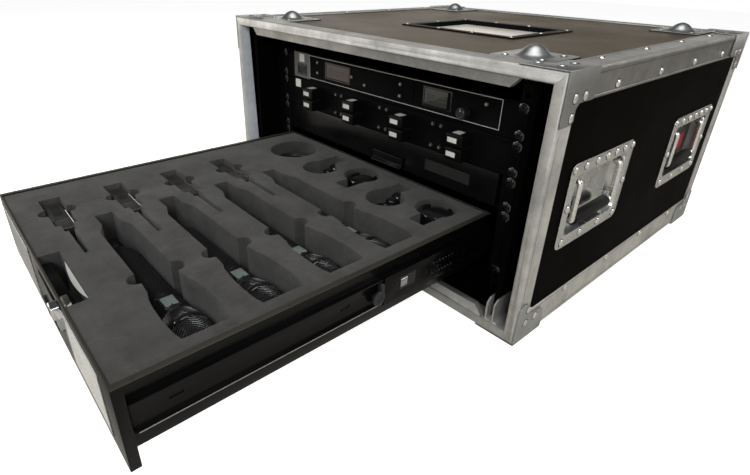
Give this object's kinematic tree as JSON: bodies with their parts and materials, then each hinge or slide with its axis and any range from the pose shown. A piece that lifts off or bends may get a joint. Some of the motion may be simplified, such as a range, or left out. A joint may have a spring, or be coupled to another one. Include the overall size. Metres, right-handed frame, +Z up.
{
  "type": "rack case",
  "caption": "Roadworthy rack case with aluminium edges, recessed handles, radio receiver, charger, low drawer and an open foam-lined drawer holding microphones and body packs.",
  "frame": {"origin": "middle of everything's footprint, with the deep drawer open, on the floor the lower corner braces stand on", "axes": "+X to the right seen from the front, +Y into the case, +Z up"},
  "size_m": [0.6058, 0.9736, 0.3284],
  "materials": {
    "laminate": "satin",
    "aluminium": "satin",
    "zinc_plate": "satin",
    "rubber_grip": "matte",
    "black_steel": "satin",
    "instrument_housing": "satin",
    "black_plastic": "satin",
    "chrome_plate": "polished",
    "foam": "matte",
    "cable_sheath": "satin"
  },
  "bodies": {
    "case": {"top_panel": "laminate", "bottom_panel": "laminate", "left_panel": "laminate", "right_panel": "laminate", "rear_panel": "laminate", "divider_left": "laminate", "divider_right": "laminate", "front_frame": "aluminium", "rear_frame": "aluminium", "edge_top_left": "aluminium", "edge_top_right": "aluminium", "edge_bottom_left": "aluminium", "edge_bottom_right": "aluminium", "corner_front_top_left": "zinc_plate", "corner_front_top_right": "zinc_plate", "corner_front_bottom_left": "zinc_plate", "corner_front_bottom_right": "zinc_plate", "stacking_plate_front_left": "zinc_plate", "stacking_plate_front_right": "zinc_plate", "stacking_plate_rear_left": "zinc_plate", "stacking_plate_rear_right": "zinc_plate", "label_dish": "zinc_plate", "handle_dish_front_left": "zinc_plate", "handle_dish_front_right": "zinc_plate", "handle_dish_rear_left": "zinc_plate", "handle_dish_rear_right": "zinc_plate", "rack_strip_left": "black_steel", "rack_strip_right": "black_steel", "low_drawer_sleeve": "black_steel", "slide_outer_left": "black_steel", "slide_outer_right": "black_steel", "receiver": "instrument_housing", "charger": "instrument_housing", "battery_packs_1": "black_plastic", "battery_packs_2": "black_plastic", "battery_packs_3": "black_plastic", "battery_packs_4": "black_plastic"},
    "deep_drawer": {"drawer_tray": "black_steel", "foam_front": "foam", "foam_rear": "foam", "coiled_cable": "cable_sheath", "microphone_1": "black_plastic", "microphone_2": "black_plastic", "microphone_3": "black_plastic", "microphone_4": "black_plastic", "body_pack_1": "black_plastic", "body_pack_2": "black_plastic", "body_pack_3": "black_plastic", "body_pack_4": "black_plastic"},
    "low_drawer_body": {"low_drawer": "black_steel"},
    "slide_mid_left_body": {"slide_mid_left": "black_steel"},
    "slide_mid_right_body": {"slide_mid_right": "black_steel"},
    "low_drawer_latch_body": {"low_drawer_latch": "chrome_plate"},
    "drawer_latch_paddle_body": {"drawer_latch_paddle": "chrome_plate"},
    "receiver_knob_body": {"receiver_knob": "black_plastic"},
    "receiver_rocker_body": {"receiver_rocker": "black_plastic"},
    "handle_bail_front_left_body": {"handle_bail_front_left": "rubber_grip"},
    "handle_bail_front_right_body": {"handle_bail_front_right": "rubber_grip"},
    "handle_bail_rear_left_body": {"handle_bail_rear_left": "rubber_grip"},
    "handle_bail_rear_right_body": {"handle_bail_rear_right": "rubber_grip"}
  },
  "joints": [
    {"name": "deep_drawer_slide", "type": "slide", "parent": "case", "child": "deep_drawer", "axis": [0, 1, 0], "range_m": [0, 0.4572]},
    {"name": "slide_mid_left_slide", "type": "slide", "parent": "case", "child": "slide_mid_left_body", "axis": [0, 1, 0], "range_m": [0, 0.2286]},
    {"name": "slide_mid_right_slide", "type": "slide", "parent": "case", "child": "slide_mid_right_body", "axis": [0, 1, 0], "range_m": [0, 0.2286]},
    {"name": "low_drawer_slide", "type": "slide", "parent": "case", "child": "low_drawer_body", "axis": [0, -1, 0], "range_m": [0, 0.3]},
    {"name": "low_drawer_latch_hinge", "type": "hinge", "parent": "low_drawer_body", "child": "low_drawer_latch_body", "pos_m": [0.03, -0.02285, 0.15275], "axis": [-1, 0, 0], "range_deg": [0, 30], "stiffness_Nm_per_rad": 0.5, "springref_deg": -11.46},
    {"name": "deep_drawer_latch_hinge", "type": "hinge", "parent": "deep_drawer", "child": "drawer_latch_paddle_body", "pos_m": [0.03, -0.47525, 0.1133], "axis": [-1, 0, 0], "range_deg": [0, 25], "stiffness_Nm_per_rad": 0.8, "springref_deg": -11.46},
    {"name": "receiver_knob_turn", "type": "hinge", "parent": "case", "child": "receiver_knob_body", "pos_m": [0.156, -0.02055, 0.24105], "axis": [0, -1, 0], "continuous": true},
    {"name": "receiver_rocker_tip", "type": "hinge", "parent": "case", "child": "receiver_rocker_body", "pos_m": [-0.183, -0.01855, 0.24105], "axis": [1, 0, 0], "range_deg": [-14, 0]},
    {"name": "handle_hinge_front_right", "type": "hinge", "parent": "case", "child": "handle_bail_front_right_body", "pos_m": [0.2929, 0.06075, 0.189], "axis": [0, -1, 0], "range_deg": [0, 85], "stiffness_Nm_per_rad": 0.25, "springref_deg": -28.65},
    {"name": "handle_hinge_rear_right", "type": "hinge", "parent": "case", "child": "handle_bail_rear_right_body", "pos_m": [0.2929, 0.35275, 0.189], "axis": [0, -1, 0], "range_deg": [0, 85], "stiffness_Nm_per_rad": 0.25, "springref_deg": -28.65},
    {"name": "handle_hinge_front_left", "type": "hinge", "parent": "case", "child": "handle_bail_front_left_body", "pos_m": [-0.2929, 0.06075, 0.189], "axis": [0, 1, 0], "range_deg": [0, 85], "stiffness_Nm_per_rad": 0.25, "springref_deg": -28.65},
    {"name": "handle_hinge_rear_left", "type": "hinge", "parent": "case", "child": "handle_bail_rear_left_body", "pos_m": [-0.2929, 0.35275, 0.189], "axis": [0, 1, 0], "range_deg": [0, 85], "stiffness_Nm_per_rad": 0.25, "springref_deg": -28.65}
  ],
  "couplings": [
    {"joint": "slide_mid_left_slide", "follows": "deep_drawer_slide", "ratio": 0.5},
    {"joint": "slide_mid_right_slide", "follows": "deep_drawer_slide", "ratio": 0.5}
  ]
}
